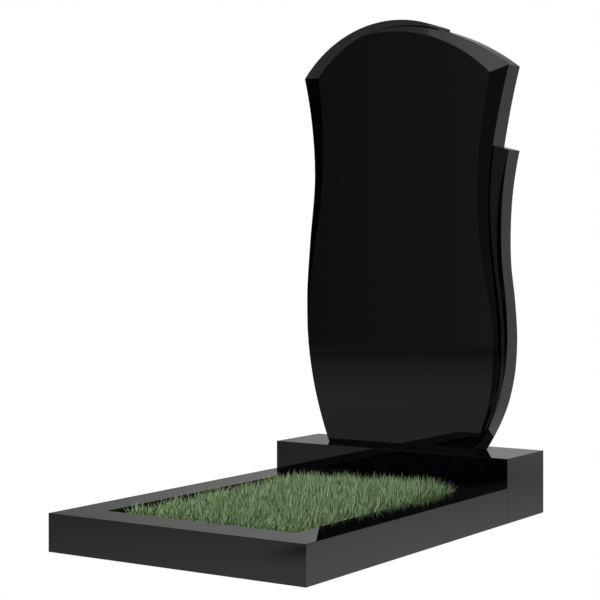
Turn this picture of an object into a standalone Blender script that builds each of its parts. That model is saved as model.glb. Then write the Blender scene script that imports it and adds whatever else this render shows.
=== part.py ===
"""A granite grave monument: a sculpted slab on a base block, behind a kerbed bed of turf.

Metres, +Z up, -Y the front. The origin is on the ground, under the middle of the whole footprint.
The base block and the turf are plain blocks, and the kerb is one frame with a window for the turf.
The slab is one loft: a section of six points is carried round its outline from the left foot, over
the top, to the right foot.
"""

import bmesh
import bpy
import numpy as np
from mathutils import Vector

# The whole footprint, and how much of its length the base block takes at the back.
TOTAL_WIDTH = 0.650
TOTAL_LENGTH = 1.044
JOINT = 0.0003

BASE_DEPTH = 0.195
BASE_HEIGHT = 0.1505
BASE_ARRIS = 0.0006

KERB_HEIGHT = 0.082
KERB_SIDE_WIDTH = 0.084
KERB_FRONT_WIDTH = 0.090
KERB_REAR_WIDTH = 0.084
KERB_ARRIS = 0.0006

TURF_HEIGHT = 0.072

SLAB_WIDTH = 0.580
SLAB_HEIGHT = 1.0565
SLAB_THICKNESS = 0.070
SLAB_SETBACK = 0.065

# How far a facet falls back for each metre of its width.
FACET_SLOPE = 0.225
WING_FALL = 0.0112
RIM_END_FALL = 0.009
WELD = 0.00002

# Side curves as (share of the slab's height, share of its width from the centre line).
LEFT_OUTER = (
    (0.0, -0.36),
    (0.05, -0.3935),
    (0.12, -0.4312),
    (0.2, -0.4598),
    (0.34, -0.4766),
    (0.48, -0.4634),
    (0.64, -0.4409),
    (0.76, -0.458),
    (0.876, -0.4998),
)
LEFT_FACE = (
    (0.283, -0.47),
    (0.36, -0.462),
    (0.45, -0.4397),
    (0.58, -0.4028),
    (0.7, -0.3908),
    (0.8, -0.3993),
    (0.874, -0.416),
)
RIGHT_FACE = (
    (0.0, 0.35),
    (0.06, 0.3917),
    (0.13, 0.4245),
    (0.22, 0.4375),
    (0.31, 0.4306),
    (0.43, 0.3894),
    (0.52, 0.3693),
    (0.61, 0.3663),
    (0.71, 0.3792),
    (0.861, 0.424),
)
MIDDLE_OUTER = (
    (0.0, 0.351),
    (0.06, 0.407),
    (0.13, 0.4445),
    (0.2, 0.4585),
    (0.28, 0.4587),
    (0.4, 0.436),
    (0.47, 0.42),
    (0.56, 0.4125),
    (0.65, 0.4205),
    (0.75, 0.4495),
    (0.8765, 0.5027),
)
WING_OUTER = (
    (0.0, 0.35),
    (0.05, 0.4043),
    (0.1, 0.4457),
    (0.16, 0.475),
    (0.25, 0.4906),
    (0.34, 0.4817),
    (0.43, 0.4632),
    (0.5, 0.4611),
    (0.59, 0.4714),
    (0.685, 0.5018),
)
# The wing's own chamfer as (share of height, width, fall), the last two as shares of the thickness.
WING_CHAMFER = (
    (0.15, 0.0, 0.0),
    (0.21, 0.058, 0.045),
    (0.27, 0.076, 0.078),
    (0.35, 0.09, 0.128),
    (0.43, 0.104, 0.128),
    (0.52, 0.121, 0.083),
    (0.59, 0.105, 0.052),
    (0.655, 0.042, 0.02),
    (0.69, 0.0, 0.0),
)
# Where the wing's top cut meets the middle layer, as a share of the slab's height.
WING_TOP_INNER = 0.6957

# Top arcs as three (share of width, share of height) points each.
RIM_OUTER_ARC = ((-0.4998, 0.8760), (-0.0490, 1.0), (0.1759, 0.9742))
RIM_LEFT_ARC = ((-0.4160, 0.8740), (-0.3150, 0.9285), (-0.1810, 0.9690))
RIM_INNER_ARC = ((-0.1810, 0.9690), (0.0030, 0.9836), (0.1759, 0.9697))
FACE_RIGHT_ARC = ((-0.1810, 0.9690), (0.1590, 0.9509), (0.4240, 0.8610))
MIDDLE_TOP_ARC = ((0.1759, 0.9690), (0.3450, 0.9312), (0.5027, 0.8765))

SIDE_STEPS = 34
CORNER_STEPS = 12
RIM_STEPS = 20
SHOULDER_STEPS = 14
WING_STEPS = 42
# Which of a section's six points is the facet's outer edge.
EDGE_POINT = 3

GRANITE = (0.016, 0.016, 0.018, 1.0)
TURF = (0.09, 0.14, 0.07, 1.0)
POLISHED = 0.08
MATTE = 0.9


def clear_scene():
    """Removes the startup objects."""
    for found in list(bpy.data.objects):
        bpy.data.objects.remove(found, do_unlink=True)


def material(name, colour, roughness):
    """A Principled material of its own for one piece."""
    made = bpy.data.materials.new(name)
    made.use_nodes = True
    shader = made.node_tree.nodes["Principled BSDF"]
    shader.inputs["Base Color"].default_value = colour
    shader.inputs["Roughness"].default_value = roughness
    made.diffuse_color = colour
    return made


def add_piece(name, mesh, location, colour, roughness, collection):
    """One named object for a mesh that is built round its own origin."""
    mesh.materials.append(material(name, colour, roughness))
    piece = bpy.data.objects.new(name, mesh)
    piece.location = location
    collection.objects.link(piece)
    return piece


def block_mesh(name, width, length, height):
    """A box with its front underside edge centred on the origin."""
    shape = bmesh.new()
    bmesh.ops.create_cube(shape, size=1.0)
    bmesh.ops.scale(shape, verts=shape.verts, vec=Vector((width, length, height)))
    bmesh.ops.translate(shape, verts=shape.verts, vec=Vector((0.0, length / 2, height / 2)))
    mesh = bpy.data.meshes.new(name)
    shape.to_mesh(mesh)
    shape.free()
    return mesh


def soften(piece, arris):
    """Takes the sharp edge off a sawn block."""
    bevel = piece.modifiers.new("arris", "BEVEL")
    bevel.width = arris
    bevel.segments = 2
    bevel.limit_method = "ANGLE"


def through(points, wanted):
    """Values at the wanted heights on a smooth curve through (height, value) points."""
    knots = np.array(points)
    heights = knots[:, 0]
    values = knots[:, 1]
    slopes = np.gradient(values, heights, edge_order=2)
    index = np.clip(np.searchsorted(heights, wanted) - 1, 0, len(heights) - 2)
    gap = heights[index + 1] - heights[index]
    part = np.clip((wanted - heights[index]) / gap, 0.0, 1.0)
    rest = 1.0 - part
    start = values[index] * (1 + 2 * part) * rest**2 + slopes[index] * gap * part * rest**2
    end = values[index + 1] * (1 + 2 * rest) * part**2 - slopes[index + 1] * gap * rest * part**2
    return start + end


def arc(three, count):
    """Evenly spaced points, in metres, on the arc through three (width share, height share) points."""
    first, middle, last = [np.array(point) * (SLAB_WIDTH, SLAB_HEIGHT) for point in three]
    rows = 2.0 * np.array((middle - first, last - first))
    right = np.array((middle @ middle - first @ first, last @ last - first @ first))
    centre = np.linalg.solve(rows, right)
    radius = np.linalg.norm(first - centre)
    begin = np.arctan2(*(first - centre)[::-1])
    finish = np.arctan2(*(last - centre)[::-1])
    angles = np.linspace(begin, finish, count)
    return centre + radius * np.column_stack((np.cos(angles), np.sin(angles)))


def side(points, shares):
    """(x, z) points, in metres, of a side curve at these shares of the height."""
    return np.column_stack((through(points, shares) * SLAB_WIDTH, shares * SLAB_HEIGHT))


def fall(inner, outer):
    """How far back a facet's outer edge lies, from the width of the facet."""
    return FACET_SLOPE * np.linalg.norm(outer - inner, axis=1)


def sections(face, middle, middle_fall, rise, rise_fall, edge, edge_fall, arris, arris_fall):
    """Stacks six points per station: face, middle, rise, edge, arris and back."""
    count = len(face)
    zero = np.zeros(count)
    back = np.full(count, SLAB_THICKNESS)
    rows = (
        (face, zero),
        (middle, middle_fall),
        (rise, rise_fall),
        (edge, edge_fall),
        (arris, arris_fall),
        (arris, back),
    )
    return np.stack([np.column_stack((at[:, 0], zero + depth, at[:, 1])) for at, depth in rows], axis=1)


def left_side():
    """From the left foot to the left corner: one facet, which starts a third of the way up."""
    top_outer = LEFT_OUTER[-1][0]
    top_face = LEFT_FACE[-1][0]
    climb = np.linspace(0.0, 1.0, SIDE_STEPS)
    outer = side(LEFT_OUTER, climb * top_outer)
    shares = climb * top_face
    face = side(LEFT_FACE, np.maximum(shares, LEFT_FACE[0][0]))
    face[:, 1] = shares * SLAB_HEIGHT
    plain = (shares <= LEFT_FACE[0][0]) | (face[:, 0] <= outer[:, 0])
    face[plain] = outer[plain]
    depth = fall(face, outer)
    return sections(face, face, 0.0, face, 0.0, outer, depth, outer, depth)


def left_corner():
    """From the left corner to where the dark inner edge of the rim leaves the face."""
    face = arc(RIM_LEFT_ARC, CORNER_STEPS)
    whole = arc(RIM_OUTER_ARC, CORNER_STEPS + RIM_STEPS - 1)
    outer = whole[:CORNER_STEPS]
    depth = np.full(CORNER_STEPS, fall(face[:1], outer[:1])[0])
    return sections(face, face, 0.0, face, 0.0, outer, depth, outer, depth)


def rim():
    """From there to the notch: the rim stands proud of the middle layer's facet."""
    face = arc(FACE_RIGHT_ARC, RIM_STEPS + SHOULDER_STEPS - 1)[:RIM_STEPS]
    inner = arc(RIM_INNER_ARC, RIM_STEPS)
    outer = arc(RIM_OUTER_ARC, CORNER_STEPS + RIM_STEPS - 1)[CORNER_STEPS - 1 :]
    start = left_corner()[-1, EDGE_POINT, 1]
    depth = np.linspace(start, RIM_END_FALL, RIM_STEPS)
    return sections(face, inner, fall(face, inner), inner, 0.0, outer, depth, outer, depth)


def shoulder():
    """From the notch to the right corner, where the rim is gone."""
    face = arc(FACE_RIGHT_ARC, RIM_STEPS + SHOULDER_STEPS - 1)[RIM_STEPS - 1 :]
    outer = arc(MIDDLE_TOP_ARC, SHOULDER_STEPS)
    outer[0] = arc(RIM_INNER_ARC, RIM_STEPS)[-1]
    depth = fall(face, outer)
    return sections(face, outer, depth, outer, depth, outer, depth, outer, depth)


def right_side():
    """From the right corner down to the top of the wing."""
    climb = np.linspace(1.0, 0.0, SHOULDER_STEPS)
    low = WING_TOP_INNER
    outer = side(MIDDLE_OUTER, low + climb * (MIDDLE_OUTER[-1][0] - low))
    face = side(RIGHT_FACE, low + climb * (RIGHT_FACE[-1][0] - low))
    depth = fall(face, outer)
    return sections(face, outer, depth, outer, depth, outer, depth, outer, depth)


def wing():
    """From the top of the wing down to the right foot, with the wing behind the middle layer."""
    climb = np.linspace(1.0, 0.0, WING_STEPS)
    middle = side(MIDDLE_OUTER, climb * WING_TOP_INNER)
    face = side(RIGHT_FACE, climb * WING_TOP_INNER)
    outer = side(WING_OUTER, climb * WING_OUTER[-1][0])
    shares = outer[:, 1] / SLAB_HEIGHT
    width = SLAB_THICKNESS * np.maximum(through([row[:2] for row in WING_CHAMFER], shares), 0.0)
    drop = SLAB_THICKNESS * np.maximum(through([row[::2] for row in WING_CHAMFER], shares), 0.0)
    plain = (shares <= WING_CHAMFER[0][0]) | (shares >= WING_CHAMFER[-1][0])
    width[plain] = 0.0
    drop[plain] = 0.0
    edge = outer - np.column_stack((width, np.zeros(WING_STEPS)))
    return sections(face, middle, fall(face, middle), middle, WING_FALL, edge, WING_FALL, outer, WING_FALL + drop)


def slab_mesh():
    """The slab, standing on Z = 0, with its face in the plane Y = 0 and its back behind it."""
    runs = (left_side(), left_corner()[1:], rim()[1:], shoulder(), right_side()[1:], wing())
    stations = np.concatenate(runs)
    count = len(stations)
    keys = {}
    points = []
    numbers = np.empty(stations.shape[:2], int)
    for row, section in enumerate(stations):
        for column, point in enumerate(section):
            key = tuple(np.round(point / WELD).astype(int))
            if key not in keys:
                keys[key] = len(points)
                points.append(point)
            numbers[row, column] = keys[key]
    faces = [
        (numbers[k, j], numbers[k, j + 1], numbers[k + 1, j + 1], numbers[k + 1, j])
        for k in range(count - 1)
        for j in range(stations.shape[1] - 1)
    ]
    faces.append(tuple(numbers[::-1, 0]))
    faces.append(tuple(numbers[:, -1]))
    faces.append(tuple(numbers[0]) + tuple(numbers[-1, ::-1]))
    kept = [[int(v) for v in dict.fromkeys(face)] for face in faces]
    mesh = bpy.data.meshes.new("stele")
    mesh.from_pydata([tuple(point) for point in points], [], [face for face in kept if len(face) > 2])
    shape = bmesh.new()
    shape.from_mesh(mesh)
    bmesh.ops.recalc_face_normals(shape, faces=shape.faces)
    shape.to_mesh(mesh)
    shape.free()
    return mesh


def build():
    """Places every piece in its own collection."""
    clear_scene()
    home = bpy.data.collections.new("granite_monument")
    bpy.context.scene.collection.children.link(home)
    cutters = bpy.data.collections.new("cutters")
    bpy.context.scene.collection.children.link(cutters)
    front = -TOTAL_LENGTH / 2
    base_front = TOTAL_LENGTH / 2 - BASE_DEPTH
    kerb_length = TOTAL_LENGTH - BASE_DEPTH - JOINT
    window_front = front + KERB_FRONT_WIDTH
    window_width = TOTAL_WIDTH - 2 * KERB_SIDE_WIDTH
    window_length = kerb_length - KERB_FRONT_WIDTH - KERB_REAR_WIDTH

    base = block_mesh("base_block", TOTAL_WIDTH, BASE_DEPTH, BASE_HEIGHT)
    base = add_piece("base_block", base, (0.0, base_front, 0.0), GRANITE, POLISHED, home)
    soften(base, BASE_ARRIS)

    window = block_mesh("window", window_width, window_length, 3 * KERB_HEIGHT)
    window = bpy.data.objects.new("window", window)
    window.location = (0.0, window_front, -KERB_HEIGHT)
    window.hide_render = True
    window.display_type = "WIRE"
    cutters.objects.link(window)

    kerb = block_mesh("kerb_frame", TOTAL_WIDTH, kerb_length, KERB_HEIGHT)
    kerb = add_piece("kerb_frame", kerb, (0.0, front, 0.0), GRANITE, POLISHED, home)
    cut = kerb.modifiers.new("window", "BOOLEAN")
    cut.object = window
    cut.operation = "DIFFERENCE"
    cut.solver = "EXACT"
    soften(kerb, KERB_ARRIS)

    turf = block_mesh("turf", window_width - 2 * JOINT, window_length - 2 * JOINT, TURF_HEIGHT)
    add_piece("turf", turf, (0.0, window_front + JOINT, 0.0), TURF, MATTE, home)

    slab_place = (0.0, base_front + SLAB_SETBACK, BASE_HEIGHT + JOINT)
    add_piece("stele", slab_mesh(), slab_place, GRANITE, POLISHED, home)


build()
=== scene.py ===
"""Looks for a granite grave monument: a carved slab, its base block, the kerb frame and the lawn."""

import logging
import math
from dataclasses import dataclass, field
from enum import Enum

import bpy
import numpy as np
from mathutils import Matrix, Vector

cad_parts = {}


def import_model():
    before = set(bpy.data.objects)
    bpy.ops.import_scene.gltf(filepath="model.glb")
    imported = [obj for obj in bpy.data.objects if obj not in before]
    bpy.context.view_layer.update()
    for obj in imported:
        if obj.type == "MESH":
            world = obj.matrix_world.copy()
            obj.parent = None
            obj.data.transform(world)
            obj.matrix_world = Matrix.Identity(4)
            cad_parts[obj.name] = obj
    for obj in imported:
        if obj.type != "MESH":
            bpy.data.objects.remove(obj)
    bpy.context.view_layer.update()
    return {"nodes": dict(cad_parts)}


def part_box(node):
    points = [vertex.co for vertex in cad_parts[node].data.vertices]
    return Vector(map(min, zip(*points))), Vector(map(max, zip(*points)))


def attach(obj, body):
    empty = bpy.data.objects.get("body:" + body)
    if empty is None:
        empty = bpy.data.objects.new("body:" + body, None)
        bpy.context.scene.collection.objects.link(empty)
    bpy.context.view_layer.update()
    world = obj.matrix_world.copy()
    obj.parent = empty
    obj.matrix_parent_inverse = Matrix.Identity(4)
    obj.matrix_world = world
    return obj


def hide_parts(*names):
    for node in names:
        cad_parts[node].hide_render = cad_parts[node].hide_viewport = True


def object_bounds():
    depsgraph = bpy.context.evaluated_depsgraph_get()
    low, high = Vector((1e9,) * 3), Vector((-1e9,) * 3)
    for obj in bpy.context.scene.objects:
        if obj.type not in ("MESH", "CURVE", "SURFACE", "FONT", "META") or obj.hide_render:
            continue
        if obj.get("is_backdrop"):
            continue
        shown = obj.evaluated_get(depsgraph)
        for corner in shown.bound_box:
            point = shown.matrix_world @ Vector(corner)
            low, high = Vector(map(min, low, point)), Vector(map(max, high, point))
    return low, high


log = logging.getLogger("monument")

ROOT = "root"
TINY = 1e-9
FULL_TURN_DEG = 360.0

Socket = bpy.types.NodeSocket
Pair = tuple[float, float]
Triple = tuple[float, float, float]
Colour = Triple
Curve = tuple[Pair, ...]
Stops = tuple[tuple[float, Colour], ...]


class Material(Enum):
    """The record's material slots named for the new pieces; nothing reads them."""

    SLAB = "stele"
    TURF = "turf"


class Nodes:
    """A small helper that lays out and links shader nodes."""

    spacing: float = 200.0

    def __init__(self, tree: bpy.types.NodeTree) -> None:
        """Takes over an empty or default node tree.

        Args:
            tree: The tree to fill; what it holds is removed.
        """
        self.tree = tree
        self.tree.nodes.clear()
        self.count = 0

    def add(self, kind: str, **settings: object) -> bpy.types.Node:
        """Adds one node.

        Args:
            kind: Blender's name of the node type.
            settings: Attributes to set on it.

        Returns:
            The new node.
        """
        node = self.tree.nodes.new(kind)
        node.location = (self.spacing * self.count, 0.0)
        self.count += 1
        for name, value in settings.items():
            setattr(node, name, value)
        return node

    def link(self, source: Socket, target: Socket) -> None:
        """Joins an output to an input."""
        self.tree.links.new(source, target)

    def finish(self, kind: str, surface: Socket) -> None:
        """Adds the tree's output node, of this kind, and joins the surface to it."""
        self.link(surface, self.add(kind).inputs["Surface"])

    def math(self, operation: str, first: object, second: object = 0.0) -> Socket:
        """Adds a Math node whose inputs are sockets or plain numbers.

        Args:
            operation: Blender's name of the operation.
            first: First input.
            second: Second input.

        Returns:
            The result socket.
        """
        node = self.add("ShaderNodeMath", operation=operation)
        for index, value in enumerate((first, second)):
            if isinstance(value, Socket):
                self.link(value, node.inputs[index])
            else:
                node.inputs[index].default_value = value
        return node.outputs[0]

    def ramp(self, value: Socket, stops: Stops) -> Socket:
        """Adds a colour ramp.

        Args:
            value: What it reads.
            stops: Pairs of position and linear colour.

        Returns:
            The colour socket.
        """
        node = self.add("ShaderNodeValToRGB")
        band = node.color_ramp.elements
        # A new stop gets its own place in the next loop.
        while len(band) < len(stops):
            band.new(0.5)
        for element, (place, colour) in zip(band, stops):
            element.position = place
            element.color = (*colour, 1.0)
        self.link(value, node.inputs[0])
        return node.outputs[0]

    def noise(self, place: Socket, scale: float, detail: float) -> Socket:
        """Adds a cloudy pattern.

        Args:
            place: The coordinates that it reads.
            scale: How many clouds there are in a metre.
            detail: How many finer layers it has.

        Returns:
            Its grey value.
        """
        node = self.add("ShaderNodeTexNoise")
        node.inputs["Scale"].default_value = scale
        node.inputs["Detail"].default_value = detail
        self.link(place, node.inputs["Vector"])
        return node.outputs["Fac"]


def new_material(name: str, preview: Colour) -> tuple[bpy.types.Material, Nodes]:
    """Makes a material with an empty node tree.

    Args:
        name: Its name.
        preview: Its plain colour in an unshaded view.

    Returns:
        The material and the helper for its tree.
    """
    made = bpy.data.materials.new(name)
    made.use_nodes = True
    made.diffuse_color = (*preview, 1.0)
    return made, Nodes(made.node_tree)


@dataclass(frozen=True)
class PolishedGranite:
    """Black granite with a mirror polish: fine grey grain and rare mica flecks in a near-black ground."""

    name: str
    preview: Colour = (0.01, 0.01, 0.011)
    ground: Colour = (0.0001, 0.0001, 0.00012)
    grain: Colour = (0.0003, 0.0003, 0.00035)
    fleck: Colour = (0.0024, 0.0024, 0.0028)
    grain_scale: float = 520.0
    grain_detail: float = 3.0
    grain_range: Pair = (0.42, 0.68)
    fleck_scale: float = 420.0
    fleck_rare: float = 0.965
    fleck_reach: float = 0.32
    polish: float = 0.012
    haze: float = 0.006
    haze_scale: float = 9.0
    haze_detail: float = 2.0
    ior: float = 1.5

    def stone(self, nodes: Nodes, place: Socket) -> Socket:
        """The stone's colour: a fine noise goes from ground to grain, and rare cells hold a fleck.

        Args:
            nodes: The tree to add to.
            place: The coordinates that it reads.

        Returns:
            The colour.
        """
        start, end = self.grain_range
        cloud = nodes.noise(place, self.grain_scale, self.grain_detail)
        body = nodes.ramp(cloud, ((start, self.ground), (end, self.grain)))
        cells = nodes.add("ShaderNodeTexVoronoi")
        cells.inputs["Scale"].default_value = self.fleck_scale
        nodes.link(place, cells.inputs["Vector"])
        spread = nodes.add("ShaderNodeSeparateColor")
        nodes.link(cells.outputs["Color"], spread.inputs[0])
        rare = nodes.math("GREATER_THAN", spread.outputs[0], self.fleck_rare)
        near = nodes.math("LESS_THAN", cells.outputs["Distance"], self.fleck_reach)
        mix = nodes.add("ShaderNodeMix", data_type="RGBA")
        nodes.link(nodes.math("MULTIPLY", rare, near), mix.inputs["Factor"])
        nodes.link(body, mix.inputs["A"])
        mix.inputs["B"].default_value = (*self.fleck, 1.0)
        return mix.outputs["Result"]

    def build(self) -> bpy.types.Material:
        """Makes the material, whose roughness wanders a little round the polish.

        Returns:
            A Principled material on Object coordinates.
        """
        made, nodes = new_material(self.name, self.preview)
        place = nodes.add("ShaderNodeTexCoord").outputs["Object"]
        haze = nodes.noise(place, self.haze_scale, self.haze_detail)
        wear = nodes.math("MULTIPLY_ADD", haze, self.haze)
        wear.node.inputs[2].default_value = self.polish - self.haze / 2
        shader = nodes.add("ShaderNodeBsdfPrincipled")
        shader.inputs["IOR"].default_value = self.ior
        nodes.link(self.stone(nodes, place), shader.inputs["Base Color"])
        nodes.link(wear, shader.inputs["Roughness"])
        nodes.finish("ShaderNodeOutputMaterial", shader.outputs[0])
        return made


@dataclass(frozen=True)
class GrassBlade:
    """A blade's leaf: near black at the root as painted shade, green in the middle and paler at the tip, each
    a little different.
    """

    name: str = "grass_blade"
    preview: Colour = (0.16, 0.25, 0.12)
    # painted shade: the near-black root colour stands in for the shade low down among the blades
    root: Colour = (0.008, 0.016, 0.005)
    leaf: Colour = (0.135, 0.220, 0.098)
    tip: Colour = (0.27, 0.375, 0.21)
    root_shade_end: float = 0.3
    leaf_middle: float = 0.65
    tints: Stops = (
        (0.0, (0.40, 0.44, 0.38)),
        (0.5, (1.0, 1.0, 1.0)),
        (1.0, (1.55, 1.45, 1.4)),
    )
    roughness: float = 0.6
    gloss: float = 0.25

    def build(self) -> bpy.types.Material:
        """Makes the material, from the blade's own height and shade attributes.

        Returns:
            A Principled material whose colour is the height's colour times the shade's tint.
        """
        made, nodes = new_material(self.name, self.preview)
        height = nodes.add("ShaderNodeAttribute", attribute_name="height")
        shade = nodes.add("ShaderNodeAttribute", attribute_name="shade")
        # The ramp holds the painted shade of the root over the lower part of each blade, then goes to the
        # leaf and the paler tip.
        stops = ((0.0, self.root), (self.root_shade_end, self.root), (self.leaf_middle, self.leaf), (1.0, self.tip))
        mix = nodes.add("ShaderNodeMix", data_type="RGBA", blend_type="MULTIPLY")
        mix.inputs["Factor"].default_value = 1.0
        nodes.link(nodes.ramp(height.outputs["Fac"], stops), mix.inputs["A"])
        nodes.link(nodes.ramp(shade.outputs["Fac"], self.tints), mix.inputs["B"])
        shader = nodes.add("ShaderNodeBsdfPrincipled")
        shader.inputs["Roughness"].default_value = self.roughness
        shader.inputs["Specular IOR Level"].default_value = self.gloss
        nodes.link(mix.outputs["Result"], shader.inputs["Base Color"])
        nodes.finish("ShaderNodeOutputMaterial", shader.outputs[0])
        return made


@dataclass(frozen=True)
class DarkSoil:
    """Moist soil with crumbs, seen only between the blades."""

    name: str = "dark_soil"
    preview: Colour = (0.02, 0.02, 0.012)
    wet: Colour = (0.006, 0.006, 0.004)
    dry: Colour = (0.030, 0.030, 0.018)
    wet_end: float = 0.35
    dry_start: float = 0.7
    crumb_scale: float = 160.0
    crumb_detail: float = 6.0
    bump: float = 0.7
    bump_height: float = 0.003
    roughness: float = 0.95
    gloss: float = 0.1

    def build(self) -> bpy.types.Material:
        """Makes the material, with crumbs as colour and as bump.

        Returns:
            A Principled material on Object coordinates.
        """
        made, nodes = new_material(self.name, self.preview)
        place = nodes.add("ShaderNodeTexCoord").outputs["Object"]
        crumbs = nodes.noise(place, self.crumb_scale, self.crumb_detail)
        colour = nodes.ramp(crumbs, ((self.wet_end, self.wet), (self.dry_start, self.dry)))
        bump = nodes.add("ShaderNodeBump")
        bump.inputs["Strength"].default_value = self.bump
        bump.inputs["Distance"].default_value = self.bump_height
        nodes.link(crumbs, bump.inputs["Height"])
        shader = nodes.add("ShaderNodeBsdfPrincipled")
        shader.inputs["Roughness"].default_value = self.roughness
        shader.inputs["Specular IOR Level"].default_value = self.gloss
        nodes.link(colour, shader.inputs["Base Color"])
        nodes.link(bump.outputs["Normal"], shader.inputs["Normal"])
        nodes.finish("ShaderNodeOutputMaterial", shader.outputs[0])
        return made


def put_piece(
    name: str,
    points: np.ndarray,
    faces: list[np.ndarray],
    finish: bpy.types.Material,
    slot: Material,
) -> bpy.types.Object:
    """Puts points and faces into a new mesh object that rides on the monument.

    Args:
        name: Name of the piece.
        points: Points in metres, one row each.
        faces: Arrays of point numbers, each with one row per face.
        finish: Its material.
        slot: The record's slot for the piece; not used.

    Returns:
        The object, at the origin.
    """
    mesh = bpy.data.meshes.new(name)
    mesh.vertices.add(len(points))
    mesh.vertices.foreach_set("co", np.ascontiguousarray(points, np.float32).ravel())
    sizes = np.concatenate([np.full(len(rows), rows.shape[1]) for rows in faces])
    corners = np.concatenate([rows.ravel() for rows in faces])
    starts = np.concatenate(([0], np.cumsum(sizes)[:-1]))
    mesh.loops.add(len(corners))
    mesh.loops.foreach_set("vertex_index", corners.astype(np.int32))
    mesh.polygons.add(len(sizes))
    mesh.polygons.foreach_set("loop_start", starts.astype(np.int32))
    mesh.update(calc_edges=True)
    mesh.validate()
    mesh.materials.append(finish)
    piece = bpy.data.objects.new(name, mesh)
    bpy.context.scene.collection.objects.link(piece)
    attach(piece, ROOT)
    return piece


@dataclass(frozen=True)
class Outline:
    """A smooth side curve through knots of (share of the slab's height, value)."""

    knots: Curve

    @property
    def low(self) -> float:
        """Share of the height at its lower end."""
        return self.knots[0][0]

    @property
    def high(self) -> float:
        """Share of the height at its upper end."""
        return self.knots[-1][0]

    def at(self, shares: np.ndarray) -> np.ndarray:
        """Values at these shares: a cubic between each two knots, with slopes from their neighbours.

        Args:
            shares: Shares of the slab's height.

        Returns:
            One value per share.
        """
        heights, values = np.array(self.knots).T
        slopes = np.gradient(values, heights, edge_order=2)
        index = np.clip(np.searchsorted(heights, shares) - 1, 0, len(heights) - 2)
        gap = heights[index + 1] - heights[index]
        part = np.clip((shares - heights[index]) / gap, 0.0, 1.0)
        rest = 1.0 - part
        start = values[index] * (1 + 2 * part) * rest**2 + slopes[index] * gap * part * rest**2
        end = values[index + 1] * (1 + 2 * rest) * part**2 - slopes[index + 1] * gap * rest * part**2
        return start + end


@dataclass(frozen=True)
class Arc:
    """A circular arc through three points of (share of width, share of height)."""

    first: Pair
    middle: Pair
    last: Pair

    def points(self, size: Pair, count: int) -> np.ndarray:
        """Evenly spaced points: the centre is as far from all three points, and the angle goes evenly.

        Args:
            size: The slab's width and height.
            count: How many points.

        Returns:
            Rows of (x, z) in metres.
        """
        first, middle, last = [np.array(point) * size for point in (self.first, self.middle, self.last)]
        rows = 2.0 * np.array((middle - first, last - first))
        right = np.array((middle @ middle - first @ first, last @ last - first @ first))
        centre = np.linalg.solve(rows, right)
        radius = np.linalg.norm(first - centre)
        begin = math.atan2(*(first - centre)[::-1])
        finish = math.atan2(*(last - centre)[::-1])
        angles = np.linspace(begin, finish, count)
        return centre + radius * np.column_stack((np.cos(angles), np.sin(angles)))


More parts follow.
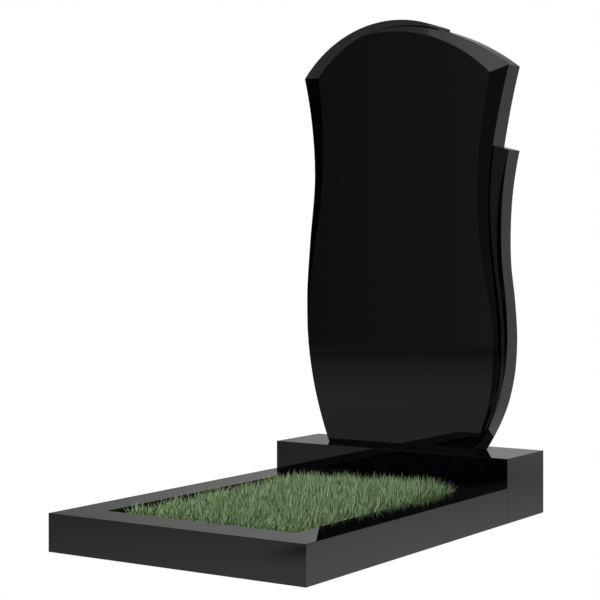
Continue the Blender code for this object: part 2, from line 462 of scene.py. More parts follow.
@dataclass
class Stele:
    """The carved slab: a section of six points carried round its outline, with a small arris on each edge."""

    width: float = 0.580
    height: float = 1.0565
    thickness: float = 0.070
    foot_y: float = 0.392
    foot_z: float = 0.1508
    facet_slope: float = 0.225
    wing_fall: float = 0.0112
    rim_end_fall: float = 0.009
    wing_top: float = 0.6957
    arris: float = 0.0005
    arris_share: float = 0.3
    flat_reach: float = 0.0112
    weld: float = 2e-5
    crease_deg: float = 4.0
    finish: PolishedGranite = PolishedGranite("slab_granite")
    side_steps: int = 150
    corner_steps: int = 40
    rim_steps: int = 80
    shoulder_steps: int = 56
    wing_steps: int = 160
    left_outer: Outline = Outline(
        (
            (0.0, -0.36), (0.05, -0.3935), (0.12, -0.4312), (0.2, -0.4598), (0.34, -0.4766),
            (0.48, -0.4634), (0.64, -0.4409), (0.76, -0.458), (0.876, -0.4998),
        )
    )
    left_face: Outline = Outline(
        (
            (0.283, -0.47), (0.36, -0.462), (0.45, -0.4397), (0.58, -0.4028), (0.7, -0.3908),
            (0.8, -0.3993), (0.874, -0.416),
        )
    )
    right_face: Outline = Outline(
        (
            (0.0, 0.35), (0.06, 0.3917), (0.13, 0.4245), (0.22, 0.4375), (0.31, 0.4306),
            (0.43, 0.3894), (0.52, 0.3693), (0.61, 0.3663), (0.71, 0.3792), (0.861, 0.424),
        )
    )
    middle_outer: Outline = Outline(
        (
            (0.0, 0.351), (0.06, 0.407), (0.13, 0.4445), (0.2, 0.4585), (0.28, 0.4587),
            (0.4, 0.436), (0.47, 0.42), (0.56, 0.4125), (0.65, 0.4205), (0.75, 0.4495),
            (0.8765, 0.5027),
        )
    )
    wing_outer: Outline = Outline(
        (
            (0.0, 0.35), (0.05, 0.4043), (0.1, 0.4457), (0.16, 0.475), (0.25, 0.4906),
            (0.34, 0.4817), (0.43, 0.4632), (0.5, 0.4611), (0.59, 0.4714), (0.685, 0.5018),
        )
    )
    chamfer_width: Outline = Outline(
        (
            (0.15, 0.0), (0.21, 0.058), (0.27, 0.076), (0.35, 0.09), (0.43, 0.104), (0.52, 0.121),
            (0.59, 0.105), (0.655, 0.042), (0.69, 0.0),
        )
    )
    chamfer_fall: Outline = Outline(
        (
            (0.15, 0.0), (0.21, 0.045), (0.27, 0.078), (0.35, 0.128), (0.43, 0.128), (0.52, 0.083),
            (0.59, 0.052), (0.655, 0.02), (0.69, 0.0),
        )
    )
    rim_outer: Arc = Arc((-0.4998, 0.8760), (-0.0490, 1.0), (0.1759, 0.9742))
    rim_left: Arc = Arc((-0.4160, 0.8740), (-0.3150, 0.9285), (-0.1810, 0.9690))
    rim_inner: Arc = Arc((-0.1810, 0.9690), (0.0030, 0.9836), (0.1759, 0.9697))
    face_right: Arc = Arc((-0.1810, 0.9690), (0.1590, 0.9509), (0.4240, 0.8610))
    middle_top: Arc = Arc((0.1759, 0.9690), (0.3450, 0.9312), (0.5027, 0.8765))

    @property
    def size(self) -> Pair:
        """Width and height."""
        return self.width, self.height

    def side(self, outline: Outline, shares: np.ndarray) -> np.ndarray:
        """Rows of (x, z) in metres on a side curve."""
        return np.column_stack((outline.at(shares) * self.width, shares * self.height))

    def fall(self, inner: np.ndarray, outer: np.ndarray) -> np.ndarray:
        """How far back a facet's outer edge lies: the slope times the facet's width.

        Args:
            inner: The facet's edge on the face.
            outer: Its outer edge.

        Returns:
            One depth per station.
        """
        return self.facet_slope * np.linalg.norm(outer - inner, axis=1)

    def corner_fall(self) -> float:
        """How far back the outer edge lies at the left corner."""
        face = self.rim_left.points(self.size, self.corner_steps)
        outer = self.rim_outer.points(self.size, self.corner_steps)
        return self.fall(face[:1], outer[:1])[0]

    def stack(self, *rows: tuple[np.ndarray, object]) -> np.ndarray:
        """Stacks (edge, depth) pairs, and the back edge, into one section per station.

        Args:
            rows: Five pairs of (x, z) points and depth behind the face: the face's edge, the facet's
                outer edge, the other edge of the step there, the chamfer's inner edge and the outer edge.

        Returns:
            An array of stations by six points by (x, y, z).
        """
        zero = np.zeros(len(rows[0][0]))
        whole = (*rows, (rows[-1][0], self.thickness))
        return np.stack([np.column_stack((at[:, 0], zero + depth, at[:, 1])) for at, depth in whole], axis=1)

    def left_side(self) -> np.ndarray:
        """Left foot to left corner: one facet, which starts above the belly.

        Returns:
            Stations by six points.
        """
        climb = np.linspace(0.0, 1.0, self.side_steps)
        outer = self.side(self.left_outer, climb * self.left_outer.high)
        shares = climb * self.left_face.high
        face = self.side(self.left_face, np.maximum(shares, self.left_face.low))
        face[:, 1] = shares * self.height
        plain = (shares <= self.left_face.low) | (face[:, 0] <= outer[:, 0])
        face[plain] = outer[plain]
        depth = self.fall(face, outer)
        return self.stack((face, 0.0), (face, 0.0), (face, 0.0), (outer, depth), (outer, depth))

    def left_corner(self) -> np.ndarray:
        """Left corner to where the rim's inner edge leaves the face.

        Returns:
            Stations by six points.
        """
        face = self.rim_left.points(self.size, self.corner_steps)
        whole = self.rim_outer.points(self.size, self.corner_steps + self.rim_steps - 1)
        outer = whole[: self.corner_steps]
        depth = self.corner_fall()
        return self.stack((face, 0.0), (face, 0.0), (face, 0.0), (outer, depth), (outer, depth))

    def rim(self) -> np.ndarray:
        """From there to the notch: the rim stands proud of the middle layer's facet.

        Returns:
            Stations by six points.
        """
        face = self.face_right.points(self.size, self.rim_steps + self.shoulder_steps - 1)[: self.rim_steps]
        inner = self.rim_inner.points(self.size, self.rim_steps)
        whole = self.rim_outer.points(self.size, self.corner_steps + self.rim_steps - 1)
        outer = whole[self.corner_steps - 1 :]
        depth = np.linspace(self.corner_fall(), self.rim_end_fall, self.rim_steps)
        fall = self.fall(face, inner)
        return self.stack((face, 0.0), (inner, fall), (inner, 0.0), (outer, depth), (outer, depth))

    def shoulder(self) -> np.ndarray:
        """Notch to right corner, where the rim is gone.

        Returns:
            Stations by six points.
        """
        face = self.face_right.points(self.size, self.rim_steps + self.shoulder_steps - 1)
        face = face[self.rim_steps - 1 :]
        outer = self.middle_top.points(self.size, self.shoulder_steps)
        outer[0] = self.rim_inner.points(self.size, 2)[-1]
        edge = (outer, self.fall(face, outer))
        return self.stack((face, 0.0), edge, edge, edge, edge)

    def right_side(self) -> np.ndarray:
        """Right corner down to the top of the wing.

        Returns:
            Stations by six points.
        """
        climb = np.linspace(1.0, 0.0, self.shoulder_steps)
        outer = self.side(self.middle_outer, self.wing_top + climb * (self.middle_outer.high - self.wing_top))
        face = self.side(self.right_face, self.wing_top + climb * (self.right_face.high - self.wing_top))
        edge = (outer, self.fall(face, outer))
        return self.stack((face, 0.0), edge, edge, edge, edge)

    def wing(self) -> np.ndarray:
        """Top of the wing down to the right foot, with the wing's face behind the middle layer.

        Returns:
            Stations by six points.
        """
        climb = np.linspace(1.0, 0.0, self.wing_steps)
        middle = self.side(self.middle_outer, climb * self.wing_top)
        face = self.side(self.right_face, climb * self.wing_top)
        outer = self.side(self.wing_outer, climb * self.wing_outer.high)
        shares = outer[:, 1] / self.height
        inside = (shares > self.chamfer_width.low) & (shares < self.chamfer_width.high)
        width = self.thickness * np.where(inside, np.maximum(self.chamfer_width.at(shares), 0.0), 0.0)
        drop = self.thickness * np.where(inside, np.maximum(self.chamfer_fall.at(shares), 0.0), 0.0)
        edge = outer - np.column_stack((width, np.zeros(self.wing_steps)))
        deep = self.wing_fall
        fall = self.fall(face, middle)
        return self.stack((face, 0.0), (middle, fall), (middle, deep), (edge, deep), (outer, deep + drop))

    def stations(self) -> np.ndarray:
        """All sections in order, in the slab's own frame.

        Returns:
            Stations by six points.
        """
        runs = (
            self.left_side(),
            self.left_corner()[1:],
            self.rim()[1:],
            self.shoulder(),
            self.right_side()[1:],
            self.wing(),
        )
        return np.concatenate(runs)

    def towards(self, here: np.ndarray, other: np.ndarray) -> np.ndarray:
        """The step from a point towards its neighbour: the arris, or a share of a way that is short.

        Args:
            here: The points.
            other: Their neighbours.

        Returns:
            One step per point.
        """
        gap = other - here
        length = np.linalg.norm(gap, axis=1, keepdims=True)
        return gap * np.minimum(self.arris / np.maximum(length, TINY), self.arris_share)

    def with_arrises(self, stations: np.ndarray) -> np.ndarray:
        """Cuts each edge off by a small flat: the point moves towards each neighbour by the arris.

        Points that coincide share one flat, so an edge that fades out takes its arris with it. The first
        and the last point have the flat front and back for a neighbour, square to the outline.

        Args:
            stations: Stations by six points.

        Returns:
            Stations by twelve points.
        """
        along = np.gradient(stations[:, 0], axis=0)
        inward = np.column_stack((along[:, 2], np.zeros(len(along)), -along[:, 0]))
        inward /= np.maximum(np.linalg.norm(inward, axis=1, keepdims=True), TINY)
        inward *= self.flat_reach
        last = stations.shape[1] - 1
        apart = np.linalg.norm(np.diff(stations, axis=1), axis=2) > self.weld
        before = [stations[:, 0] + inward]
        for column in range(1, last + 1):
            split = apart[:, column - 1, None]
            before.append(np.where(split, stations[:, column - 1], before[-1]))
        after = [stations[:, last] + inward]
        for column in range(last - 1, -1, -1):
            split = apart[:, column, None]
            after.insert(0, np.where(split, stations[:, column + 1], after[0]))
        columns = []
        for column in range(last + 1):
            here = stations[:, column]
            start = here + self.towards(here, before[column])
            end = here + self.towards(here, after[column])
            if column < last:
                end = np.where(apart[:, column, None], end, start)
            columns.extend((start, end))
        return np.stack(columns, axis=1)

    def build(self) -> bpy.types.Object:
        """Makes the slab: strips between stations, then the front, the back and the foot as flat faces.

        Returns:
            The piece, in place of the plain slab.
        """
        sections = self.with_arrises(self.stations())
        count, across, _ = sections.shape
        sections[0, :, 2] = 0.0
        sections[-1, :, 2] = 0.0
        points = sections.reshape(-1, 3) + (0.0, self.foot_y, self.foot_z)
        cells = np.round(points / self.weld).astype(np.int64)
        _, first, numbers = np.unique(cells, axis=0, return_index=True, return_inverse=True)
        numbers = numbers.reshape(count, across)
        square = (numbers[:-1, :-1], numbers[:-1, 1:], numbers[1:, 1:], numbers[1:, :-1])
        quads = np.stack(square, axis=2).reshape(-1, len(square))
        foot = np.concatenate((numbers[0], numbers[-1, ::-1]))
        rings = [*quads.tolist(), numbers[::-1, 0].tolist(), numbers[:, -1].tolist(), foot.tolist()]
        faces = [list(dict.fromkeys(ring)) for ring in rings]
        mesh = bpy.data.meshes.new("slab")
        mesh.from_pydata(points[first].tolist(), [], [face for face in faces if len(face) > 2])
        mesh.validate()
        mesh.shade_smooth()
        mesh.set_sharp_from_angle(angle=math.radians(self.crease_deg))
        mesh.materials.append(self.finish.build())
        piece = bpy.data.objects.new("slab", mesh)
        bpy.context.scene.collection.objects.link(piece)
        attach(piece, ROOT)
        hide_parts("stele")
        return piece


@dataclass
class Stonework:
    """The base block and the kerb frame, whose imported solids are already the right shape."""

    nodes: dict[str, bpy.types.Object]
    base_finish: PolishedGranite = PolishedGranite("base_granite")
    kerb_finish: PolishedGranite = PolishedGranite("kerb_granite")

    def build(self) -> list[bpy.types.Object]:
        """Dresses each block in polished granite.

        Returns:
            The dressed nodes.
        """
        dressed = []
        for name, finish in (("base_block", self.base_finish), ("kerb_frame", self.kerb_finish)):
            node = self.nodes[name]
            node.data.materials.clear()
            node.data.materials.append(finish.build())
            dressed.append(node)
        return dressed


@dataclass
class Lawn:
    """Short grass on soil that fills the bed between the kerbs."""

    low: Triple
    high: Triple
    soil_level: float = 0.050
    soil_wave: float = 0.003
    slow_waves: Pair = (23.0, 19.0)
    slow_starts: Pair = (1.3, 0.4)
    fine_waves: Pair = (71.0, 53.0)
    cross_waves: Pair = (31.0, 87.0)
    wave_shares: Pair = (0.6, 0.4)
    soil_step: float = 0.006
    seed: int = 20
    blades: int = 34000
    patches: int = 2
    blade_width: Pair = (0.0011, 0.0022)
    blade_taper: Triple = (0.8, 1.0, 0.65)
    blade_steps: tuple[float, ...] = (0.0, 0.4, 0.75, 1.0)
    blade_faces: tuple[tuple[int, ...], ...] = ((0, 1, 3, 2), (2, 3, 5, 4), (4, 5, 6))
    blade_height: Triple = (0.016, 0.022, 0.054)
    tuft_waves: Pair = (61.0, 47.0)
    tuft_height: Pair = (0.85, 0.25)
    tuft_shade: float = 0.12
    shade: Pair = (0.5, 0.3)
    border: float = 0.035
    border_height: Pair = (0.62, 0.38)
    rise: float = 0.018
    rise_across: Triple = (0.1, 1.3, 1.1)
    lean: float = 0.021
    lean_spread: float = 0.7
    clear: float = 0.004
    clear_left: float = 0.031
    sunk: float = 0.004
    kerb_top: float = 0.0825
    wall_gap: float = 0.001
    soil: DarkSoil = field(default_factory=DarkSoil)
    leaf: GrassBlade = field(default_factory=GrassBlade)

    def waves(self, x: np.ndarray, y: np.ndarray) -> np.ndarray:
        """Waves of the soil: two crossing slow ones and two crossing finer ones.

        Args:
            x: Places across the bed.
            y: Places along it.

        Returns:
            Heights above the soil's level.
        """
        slow = np.sin(x * self.slow_waves[0] + self.slow_starts[0])
        slow = slow * np.cos(y * self.slow_waves[1] + self.slow_starts[1])
        fine = np.sin(x * self.fine_waves[0] + y * self.fine_waves[1])
        fine = fine * np.cos(y * self.cross_waves[1] - x * self.cross_waves[0])
        return self.soil_wave * (self.wave_shares[0] * slow + self.wave_shares[1] * fine)

    def ground(self) -> bpy.types.Object:
        """The soil: a waved sheet on a grid, closed by sides and an underside.

        Returns:
            The piece, in place of the plain turf.
        """
        across = round((self.high[0] - self.low[0]) / self.soil_step)
        along = round((self.high[1] - self.low[1]) / self.soil_step)
        x, y = np.meshgrid(
            np.linspace(self.low[0], self.high[0], across),
            np.linspace(self.low[1], self.high[1], along),
            indexing="ij",
        )
        top = np.stack((x, y, self.soil_level + self.waves(x, y)), axis=2).reshape(-1, 3)
        bottom = np.stack((x, y, np.full_like(x, self.low[2])), axis=2).reshape(-1, 3)
        numbers = np.arange(across * along).reshape(across, along)
        sheet = np.stack((numbers[:-1, :-1], numbers[1:, :-1], numbers[1:, 1:], numbers[:-1, 1:]), axis=2)
        sheet = sheet.reshape(-1, 4)
        rim = np.concatenate((numbers[:, 0], numbers[-1, 1:], numbers[-2::-1, -1], numbers[0, -2:0:-1]))
        turn = np.roll(rim, -1)
        walls = np.column_stack((rim, rim + len(top), turn + len(top), turn))
        faces = [sheet, sheet[:, ::-1] + len(top), walls[:, ::-1]]
        piece = put_piece("soil", np.concatenate((top, bottom)), faces, self.soil.build(), Material.TURF)
        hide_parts("turf")
        return piece

    def roots(self, dice: np.random.Generator) -> np.ndarray:
        """Where the blades grow: anywhere in the bed that is clear of its walls.

        Args:
            dice: The random numbers.

        Returns:
            Rows of (x, y).
        """
        low = (self.low[0] + self.clear_left, self.low[1] + self.clear)
        high = (self.high[0] - self.clear, self.high[1] - self.clear)
        return dice.uniform(low, high, (self.blades, 2))

    def tufts(self, number: int, root: np.ndarray) -> np.ndarray:
        """How thick the grass is at each blade, from 0 to 1, by two crossing waves.

        Args:
            number: Which sowing; it shifts the waves.
            root: Rows of (x, y) where the blades grow.

        Returns:
            One share per blade.
        """
        across, along = self.tuft_waves
        return 0.5 + 0.5 * np.sin(root[:, 0] * across + number) * np.cos(root[:, 1] * along)

    def heights(self, dice: np.random.Generator, root: np.ndarray, tuft: np.ndarray) -> np.ndarray:
        """The blades' heights: random, more in a tuft and less by the border, and rising to the back right.

        Args:
            dice: The random numbers.
            root: Rows of (x, y) where the blades grow.
            tuft: How thick the grass is there.

        Returns:
            One height per blade.
        """
        behind = (root[:, 1] - self.low[1]) / (self.high[1] - self.low[1])
        across = (root[:, 0] - self.low[0]) / (self.high[0] - self.low[0])
        sides = np.minimum(root[:, 0] - self.low[0], self.high[0] - root[:, 0])
        inside = np.clip(np.minimum(sides, root[:, 1] - self.low[1]) / self.border, 0.0, 1.0)
        tall = dice.triangular(*self.blade_height, self.blades)
        tall *= self.tuft_height[0] + self.tuft_height[1] * tuft
        tall *= self.border_height[0] + self.border_height[1] * inside
        start, slope, most = self.rise_across
        return tall + self.rise * behind * np.minimum(start + slope * across, most)

    def reaches(self, root: np.ndarray, tall: np.ndarray, tip: np.ndarray) -> np.ndarray:
        """Keeps the blades out of the kerb: one may cross the wall's plane only above the kerb's top.

        A blade reaches that height at a share of its own height, and has leaned by the square of
        that share by then, so its whole lean is limited to the room beside it over that square.

        Args:
            root: Rows of (x, y) where the blades grow.
            tall: Their heights.
            tip: How far their tips lean in x and y.

        Returns:
            The leans that are left.
        """
        share = np.minimum((self.kerb_top - self.soil_level + self.sunk) / tall, 1.0)[:, None] ** 2
        low = np.array(self.low[:2]) + self.wall_gap
        high = np.array(self.high[:2]) - self.wall_gap
        return np.clip(tip, (low - root) / share, (high - root) / share)

    def strips(
        self, root: np.ndarray, tip: np.ndarray, tall: np.ndarray, wide: np.ndarray, face: np.ndarray
    ) -> np.ndarray:
        """Points of the blades, each a strip of three lengths.

        Its middle line rises by the blade's height and leans by the square of the way up, and its
        width narrows from the root to a point.

        Args:
            root: Rows of (x, y) where the blades grow.
            tip: How far their tips lean in x and y.
            tall: Their heights.
            wide: Their widths.
            face: The angles that their widths point in.

        Returns:
            Blades by seven points: left and right three times, and the tip.
        """
        steps = np.array(self.blade_steps)
        middle = np.empty((self.blades, len(steps), 3))
        middle[:, :, :2] = root[:, None, :] + tip[:, None, :] * (steps**2)[:, None]
        middle[:, :, 2] = self.soil_level - self.sunk + tall[:, None] * steps
        half = 0.5 * wide[:, None] * np.array(self.blade_taper)
        across = np.stack((np.cos(face), np.sin(face), np.zeros(self.blades)), axis=1)
        side = across[:, None, :] * half[:, :, None]
        points = np.empty((self.blades, 2 * len(steps) - 1, 3))
        points[:, 0:-1:2] = middle[:, :-1] - side
        points[:, 1:-1:2] = middle[:, :-1] + side
        points[:, -1] = middle[:, -1]
        return points

    def patch(self, number: int, finish: bpy.types.Material) -> bpy.types.Object:
        """One sowing of blades over the whole bed.

        Args:
            number: Which sowing; it seeds the random numbers.
            finish: The blades' material.

        Returns:
            The piece.
        """
        dice = np.random.default_rng(self.seed + number)
        root = self.roots(dice)
        tuft = self.tufts(number, root)
        tall = self.heights(dice, root, tuft)
        wide = dice.uniform(*self.blade_width, self.blades)
        face = dice.uniform(0.0, np.pi, self.blades)
        wind = dice.uniform(0.0, 2.0 * np.pi, self.blades)
        reach = self.lean * np.abs(dice.normal(0.0, self.lean_spread, self.blades))
        tip = self.reaches(root, tall, np.column_stack((np.cos(wind) * reach, np.sin(wind) * reach)))
        points = self.strips(root, tip, tall, wide, face)
        first = points.shape[1] * np.arange(self.blades)[:, None]
        faces = [first + corners for corners in self.blade_faces]
        piece = put_piece(f"grass_{number}", points.reshape(-1, 3), faces, finish, Material.TURF)
        shade = dice.normal(*self.shade, self.blades) + self.tuft_shade * (tuft - 0.5)
        shade = np.repeat(np.clip(shade, 0.0, 1.0), points.shape[1])
        # The height along each blade also sets its painted shade at the root in the material.
        height = np.tile(np.repeat(self.blade_steps, 2)[:-1], self.blades)
        attributes = piece.data.attributes
        attributes.new("shade", "FLOAT", "POINT").data.foreach_set("value", shade)
        attributes.new("height", "FLOAT", "POINT").data.foreach_set("value", height)
        return piece

    def build(self) -> list[bpy.types.Object]:
        """Lays the soil and sows the blades."""
        leaf = self.leaf.build()
        return [self.ground(), *(self.patch(number, leaf) for number in range(self.patches))]


@dataclass(frozen=True)
class Panel:
    """A soft panel: it fills all directions, or places, on one side of a soft edge.

    Along its axis it rises from nothing at the start to its full power at the end.
    """

    axis: Triple
    start: float
    end: float
    power: float


@dataclass
class Studio:
    """Camera, pale floor and soft light."""

    eye: Triple = (1.9848, -3.0353, 0.6329)
    turn_deg: float = 33.6565
    sensor_mm: float = 36.0
    focal_mm: float = 96.089
    shift: float = -0.08113
    floor_size: float = 30.0
    floor_level: float = -0.0005
    floor_preview: Colour = (0.8, 0.8, 0.8)
    floor_middle: Triple = (0.4, -0.5, 0.0)
    floor_stretch: float = 0.75
    floor_far: float = 7.0
    floor_fade: Pair = (0.8, 0.95)
    floor_stops: Curve = (
        (0.0, 0.84), (0.35, 0.71), (0.75, 0.53), (1.1, 0.40), (1.45, 0.36), (2.3, 0.40),
        (2.8, 0.39), (3.7, 0.31), (4.8, 0.21), (5.5, 0.15),
    )
    floor_back: Panel = Panel((0.0, 1.0, 0.0), -0.2, 1.6, 0.45)
    dim_right: Panel = Panel((1.0, 0.0, 0.0), 0.02, 0.12, 0.75)
    dim_front: Panel = Panel((0.0, -1.0, 0.0), 0.65, 0.90, 1.0)
    low_stops: Curve = (
        (-180.0, 0.43), (-155.0, 0.433), (-147.0, 0.36), (-142.0, 0.28), (-138.0, 0.215),
        (-133.0, 0.14), (-122.0, 0.0), (-61.0, 0.003), (-48.0, 0.054), (-40.0, 0.075),
        (-34.5, 0.095), (-32.5, 0.115), (-31.0, 0.134), (-29.0, 0.152), (-28.0, 0.178),
        (-27.0, 0.207), (-25.0, 0.22), (-19.0, 0.19), (-12.0, 0.13), (-4.0, 0.11), (10.0, 0.105),
        (24.0, 0.07), (40.0, 0.012), (82.0, 0.012), (94.0, 0.42), (140.0, 0.44), (158.0, 0.436),
    )
    high_stops: Curve = (
        (-180.0, 0.27), (-165.0, 0.255), (-156.0, 0.31), (-134.0, 0.6), (-122.0, 0.44),
        (-100.0, 0.34), (-78.0, 0.35), (-64.0, 0.40), (-46.0, 0.44), (-34.0, 0.49), (-29.0, 0.55),
        (-25.6, 0.64), (-24.4, 1.17), (-20.0, 1.37), (-16.0, 1.56), (-10.0, 1.72), (-4.0, 1.76),
        (6.0, 1.5), (25.0, 0.7), (50.0, 0.35), (148.0, 0.25),
    )
    high_edge: Panel = Panel((0.0, 0.0, 1.0), 0.18, 0.32, 1.0)
    brightest: float = 2.0
    sky: Panel = Panel((-0.2, -0.8, 0.55), 0.0, 1.0, 0.35)
    lamp_place: Triple = (-1.3, -2.3, 2.2)
    lamp_turn_deg: Triple = (50.0, 0.0, -30.0)
    lamp_size: float = 1.2
    lamp_power: float = 165.0

    def camera(self) -> None:
        """The photograph's view: level, turned to the left, with the frame moved down."""
        data = bpy.data.cameras.new("camera")
        data.sensor_width = self.sensor_mm
        data.lens = self.focal_mm
        data.shift_y = self.shift
        made = bpy.data.objects.new("camera", data)
        made.location = self.eye
        made.rotation_euler = (math.pi / 2, 0.0, math.radians(self.turn_deg))
        bpy.context.scene.collection.objects.link(made)
        bpy.context.scene.camera = made

    def along(self, nodes: Nodes, direction: Socket, axis: Triple) -> Socket:
        """How far a direction points along an axis.

        Args:
            nodes: The tree to add to.
            direction: The direction's socket.
            axis: The axis, taken as it is.

        Returns:
            Their dot product.
        """
        dot = nodes.add("ShaderNodeVectorMath", operation="DOT_PRODUCT")
        nodes.link(direction, dot.inputs[0])
        dot.inputs[1].default_value = axis
        return dot.outputs["Value"]

    def step(self, nodes: Nodes, value: Socket, start: float, end: float) -> bpy.types.Node:
        """A smooth step of a value from one number to another.

        Args:
            nodes: The tree to add to.
            value: What it reads.
            start: Where it starts to rise.
            end: Where it is up.

        Returns:
            The node, which goes from 0 to 1.
        """
        edge = nodes.add("ShaderNodeMapRange", interpolation_type="SMOOTHSTEP")
        edge.inputs["From Min"].default_value = start
        edge.inputs["From Max"].default_value = end
        nodes.link(value, edge.inputs["Value"])
        return edge

    def panel(self, nodes: Nodes, direction: Socket, panel: Panel) -> Socket:
        """A panel's brightness in a direction, or at a place: a smooth step across its edge.

        Args:
            nodes: The tree to add to.
            direction: The direction's or place's socket.
            panel: The panel.

        Returns:
            The brightness.
        """
        edge = self.step(nodes, self.along(nodes, direction, panel.axis), panel.start, panel.end)
        edge.inputs["To Max"].default_value = panel.power
        return edge.outputs["Result"]

    def distance(self, nodes: Nodes, place: Socket) -> Socket:
        """Distance from the disc's middle as a share of its reach; behind the middle, y counts for less.

        Args:
            nodes: The tree to add to.
            place: Where on the floor.

        Returns:
            The share.
        """
        offset = nodes.add("ShaderNodeVectorMath", operation="SUBTRACT")
        nodes.link(place, offset.inputs[0])
        offset.inputs[1].default_value = self.floor_middle
        apart = nodes.add("ShaderNodeSeparateXYZ")
        nodes.link(offset.outputs["Vector"], apart.inputs[0])
        shrunk = nodes.math("MULTIPLY", apart.outputs[1], self.floor_stretch)
        back = nodes.math("MINIMUM", shrunk, apart.outputs[1])
        across = nodes.math("POWER", apart.outputs[0], 2.0)
        square = nodes.math("ADD", nodes.math("MULTIPLY", back, back), across)
        return nodes.math("DIVIDE", nodes.math("SQRT", square), self.floor_far)

    def disc(self, nodes: Nodes, place: Socket, share: Socket) -> Socket:
        """The floor's brightness in the polish.

        It is painted light that goes by distance and is no less than the panel behind the monument. A painted
        shadow takes most of it away in front of the kerb on the right, where both dim panels meet.

        Args:
            nodes: The tree to add to.
            place: Where on the floor.
            share: The distance there, as a share of the disc's reach.

        Returns:
            The brightness.
        """
        stops = tuple((reach / self.floor_far, (glow,) * 3) for reach, glow in self.floor_stops)
        bright = nodes.math("MAXIMUM", nodes.ramp(share, stops), self.panel(nodes, place, self.floor_back))
        right = self.panel(nodes, place, self.dim_right)
        front = self.panel(nodes, place, self.dim_front)
        # painted shadow: the floor's glow is taken away where both dim panels meet, in front of the kerb on
        # the right
        left = nodes.math("SUBTRACT", 1.0, nodes.math("MULTIPLY", right, front))
        return nodes.math("MULTIPLY", bright, left)

    def floor(self) -> None:
        """A white floor, which in the polish glows as a pale disc of painted light that ends where the walls
        take over.
        """
        made, nodes = new_material("floor", self.floor_preview)
        place = nodes.add("ShaderNodeTexCoord").outputs["Object"]
        share = self.distance(nodes, place)
        glow = nodes.add("ShaderNodeEmission")
        nodes.link(self.disc(nodes, place, share), glow.inputs["Strength"])
        clear = nodes.add("ShaderNodeBsdfTransparent")
        mirrored = nodes.add("ShaderNodeMixShader")
        nodes.link(self.step(nodes, share, *self.floor_fade).outputs["Result"], mirrored.inputs[0])
        nodes.link(glow.outputs[0], mirrored.inputs[1])
        nodes.link(clear.outputs[0], mirrored.inputs[2])
        white = nodes.add("ShaderNodeEmission")
        seen = nodes.add("ShaderNodeMixShader")
        nodes.link(nodes.add("ShaderNodeLightPath").outputs["Is Camera Ray"], seen.inputs[0])
        nodes.link(mirrored.outputs[0], seen.inputs[1])
        nodes.link(white.outputs[0], seen.inputs[2])
        nodes.finish("ShaderNodeOutputMaterial", seen.outputs[0])
        mesh = bpy.data.meshes.new("floor")
        half = self.floor_size / 2
        level = self.floor_level
        square = [(-half, -half, level), (half, -half, level), (half, half, level), (-half, half, level)]
        mesh.from_pydata(square, [], [(0, 1, 2, 3)])
        mesh.materials.append(made)
        piece = bpy.data.objects.new("floor", mesh)
        bpy.context.scene.collection.objects.link(piece)
        piece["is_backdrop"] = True

    def around(self, nodes: Nodes, turn: Socket, stops: Curve) -> Socket:
        """Brightness by direction round the horizon.

        Args:
            nodes: The tree to add to.
            turn: The share of a full turn, which is a half straight in front of the monument.
            stops: Pairs of degrees from straight in front, to the right, and brightness.

        Returns:
            The brightness.
        """
        levels = tuple((angle / FULL_TURN_DEG + 0.5, (glow / self.brightest,) * 3) for angle, glow in stops)
        return nodes.math("MULTIPLY", nodes.ramp(turn, levels), self.brightest)

    def mirrored(self, nodes: Nodes, direction: Socket) -> Socket:
        """What the polish shows above the floor: low walls, and high ones that take over above them.

        Args:
            nodes: The tree to add to.
            direction: The direction's socket.

        Returns:
            The brightness.
        """
        parts = nodes.add("ShaderNodeSeparateXYZ")
        nodes.link(direction, parts.inputs[0])
        ahead = nodes.math("MULTIPLY", parts.outputs[1], -1.0)
        turn = nodes.math("DIVIDE", nodes.math("ARCTAN2", parts.outputs[0], ahead), math.tau)
        turn = nodes.math("ADD", turn, 0.5)
        low = self.around(nodes, turn, self.low_stops)
        high = self.around(nodes, turn, self.high_stops)
        upper = self.panel(nodes, direction, self.high_edge)
        rise = nodes.math("MULTIPLY", nodes.math("SUBTRACT", high, low), upper)
        return nodes.math("ADD", low, rise)

    def world(self) -> None:
        """White to the eye, light from the front and above on the lawn, and a dim studio in the polish."""
        world = bpy.data.worlds.new("studio")
        bpy.context.scene.world = world
        world.use_nodes = True
        nodes = Nodes(world.node_tree)
        direction = nodes.add("ShaderNodeTexCoord").outputs["Generated"]
        path = nodes.add("ShaderNodeLightPath")
        polish = nodes.math("MULTIPLY", self.mirrored(nodes, direction), path.outputs["Is Glossy Ray"])
        sky = self.panel(nodes, direction, self.sky)
        lawn = nodes.math("MULTIPLY", sky, path.outputs["Is Diffuse Ray"])
        eye = nodes.math("ADD", path.outputs["Is Camera Ray"], nodes.math("ADD", polish, lawn))
        back = nodes.add("ShaderNodeBackground")
        back.inputs["Color"].default_value = (1.0, 1.0, 1.0, 1.0)
        nodes.link(eye, back.inputs["Strength"])
        nodes.finish("ShaderNodeOutputWorld", back.outputs[0])

    def lamp(self) -> None:
        """One soft lamp from the front left that shapes the lawn, unseen in the polish."""
        data = bpy.data.lights.new("soft_lamp", "AREA")
        data.shape = "DISK"
        data.size = self.lamp_size
        data.energy = self.lamp_power
        lamp = bpy.data.objects.new("soft_lamp", data)
        lamp.location = self.lamp_place
        lamp.rotation_euler = [math.radians(turn) for turn in self.lamp_turn_deg]
        lamp.visible_glossy = False
        lamp.visible_camera = False
        bpy.context.scene.collection.objects.link(lamp)

    def build(self) -> None:
        """Sets the stage."""
        bpy.context.scene.view_settings.view_transform = "Standard"
        self.camera()
        self.floor()
        self.world()
        self.lamp()


def corners() -> list[list[float]]:
    """The whole object's lowest and highest corner as plain lists."""
    return [list(corner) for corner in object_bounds()]


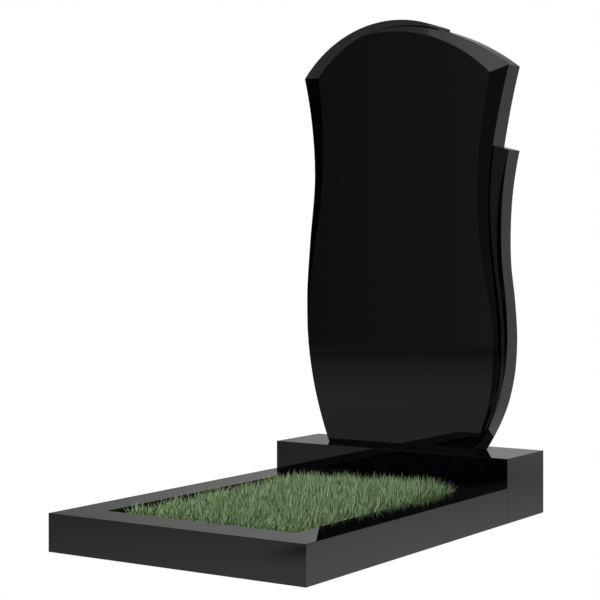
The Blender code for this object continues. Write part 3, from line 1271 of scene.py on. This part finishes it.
def main() -> None:
    """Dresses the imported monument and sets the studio."""
    logging.basicConfig(level=logging.INFO, format="%(message)s")
    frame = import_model()
    Studio().build()
    for node in Stonework(frame["nodes"]).build():
        log.info("dressed %s", node.name)
    slab = Stele().build()
    log.info("built %s with %d faces", slab.name, len(slab.data.polygons))
    low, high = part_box("turf")
    for piece in Lawn(tuple(low), tuple(high)).build():
        log.info("built %s with %d faces", piece.name, len(piece.data.polygons))


if __name__ == "__main__":
    main()
